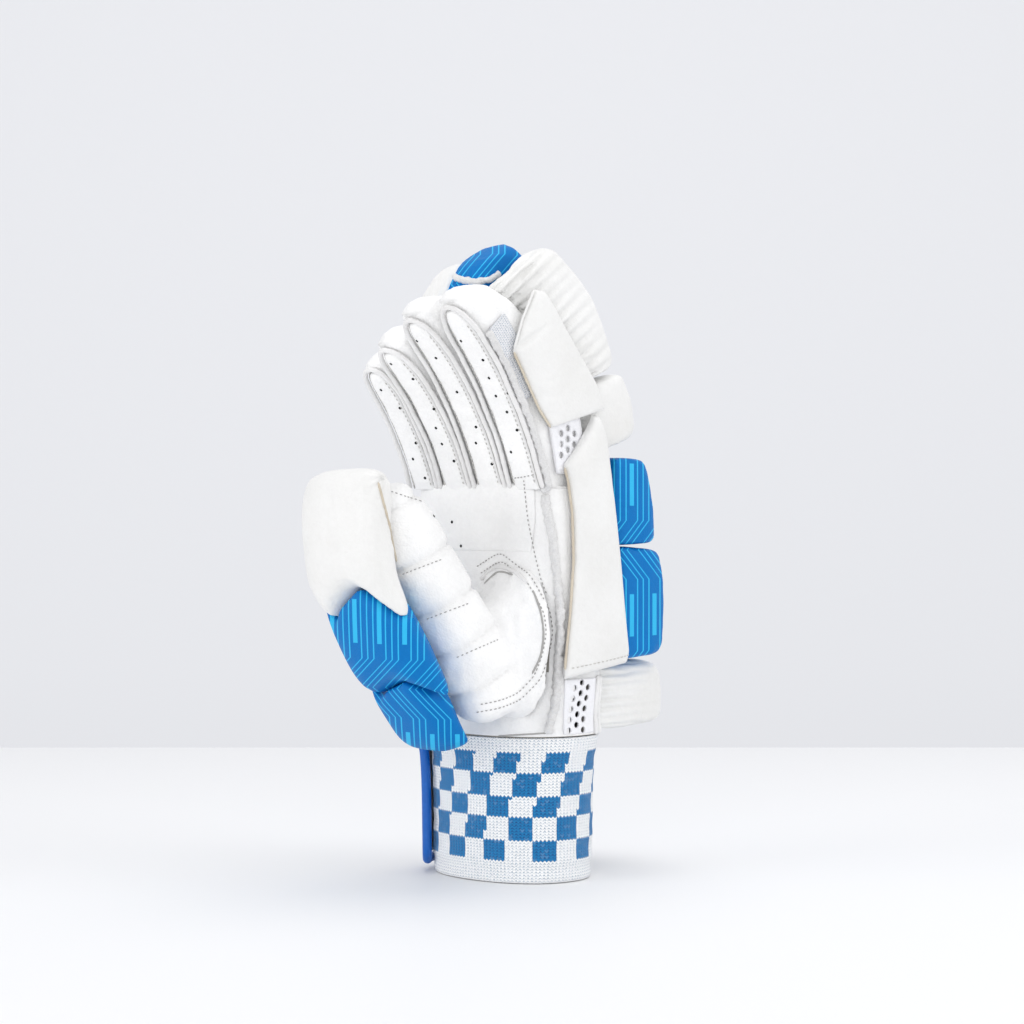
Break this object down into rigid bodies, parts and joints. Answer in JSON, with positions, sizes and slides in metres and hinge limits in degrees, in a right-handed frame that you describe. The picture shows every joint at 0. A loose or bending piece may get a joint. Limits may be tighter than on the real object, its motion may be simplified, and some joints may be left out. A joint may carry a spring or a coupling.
{
  "type": "cricket batting glove",
  "caption": "Right-hand cricket batting glove on its knitted wristband, with padded rolls on the back, a side bar and a three-plate thumb guard",
  "frame": {"origin": "under the middle of the glove's box, on the surface that it stands on", "axes": "+X towards the thumb side of the hand, -Y towards the palm side, +Z from the wrist to the fingertips"},
  "size_m": [0.1082, 0.193, 0.2999],
  "materials": {
    "leather_white": "soft white leather",
    "palm_leather": "fine grained grey-white leather",
    "pad_blue": "blue coated leather with a pale blue pinstripe",
    "knit": "white knit with blue checks",
    "rubber_blue": "satin blue rubber",
    "mesh": "pierced white fabric"
  },
  "bodies": {
    "root": {"wristband": "knit", "tab_plate": "leather_white", "tab_border": "rubber_blue", "palm_body": "palm_leather", "palm_patch": "palm_leather", "side_binding": "leather_white", "thumb": "palm_leather", "hand_back": "palm_leather", "guard_tip": "leather_white", "guard_middle": "pad_blue", "guard_lower": "pad_blue", "roll_wrist": "leather_white", "side_bar": "leather_white", "index_flap": "leather_white", "vent_lower": "mesh", "vent_upper": "mesh", "finger_little": "palm_leather", "front_little": "palm_leather", "piping_little": "leather_white", "roll_little_tip": "pad_blue", "roll_little_middle": "leather_white", "roll_little_knuckle": "pad_blue", "roll_little_hand": "pad_blue", "finger_ring": "palm_leather", "front_ring": "palm_leather", "piping_ring": "leather_white", "roll_ring_tip": "leather_white", "roll_ring_middle": "leather_white", "roll_ring_knuckle": "pad_blue", "roll_ring_hand": "pad_blue", "finger_middle": "palm_leather", "front_middle": "palm_leather", "piping_middle": "leather_white", "roll_middle_tip": "pad_blue", "roll_middle_middle": "leather_white", "roll_middle_knuckle": "pad_blue", "roll_middle_hand": "pad_blue", "finger_index": "palm_leather", "front_index": "palm_leather", "piping_index": "leather_white", "roll_index_tip": "leather_white", "roll_index_middle": "leather_white", "roll_index_knuckle": "pad_blue", "roll_index_hand": "pad_blue"}
  },
  "joints": []
}
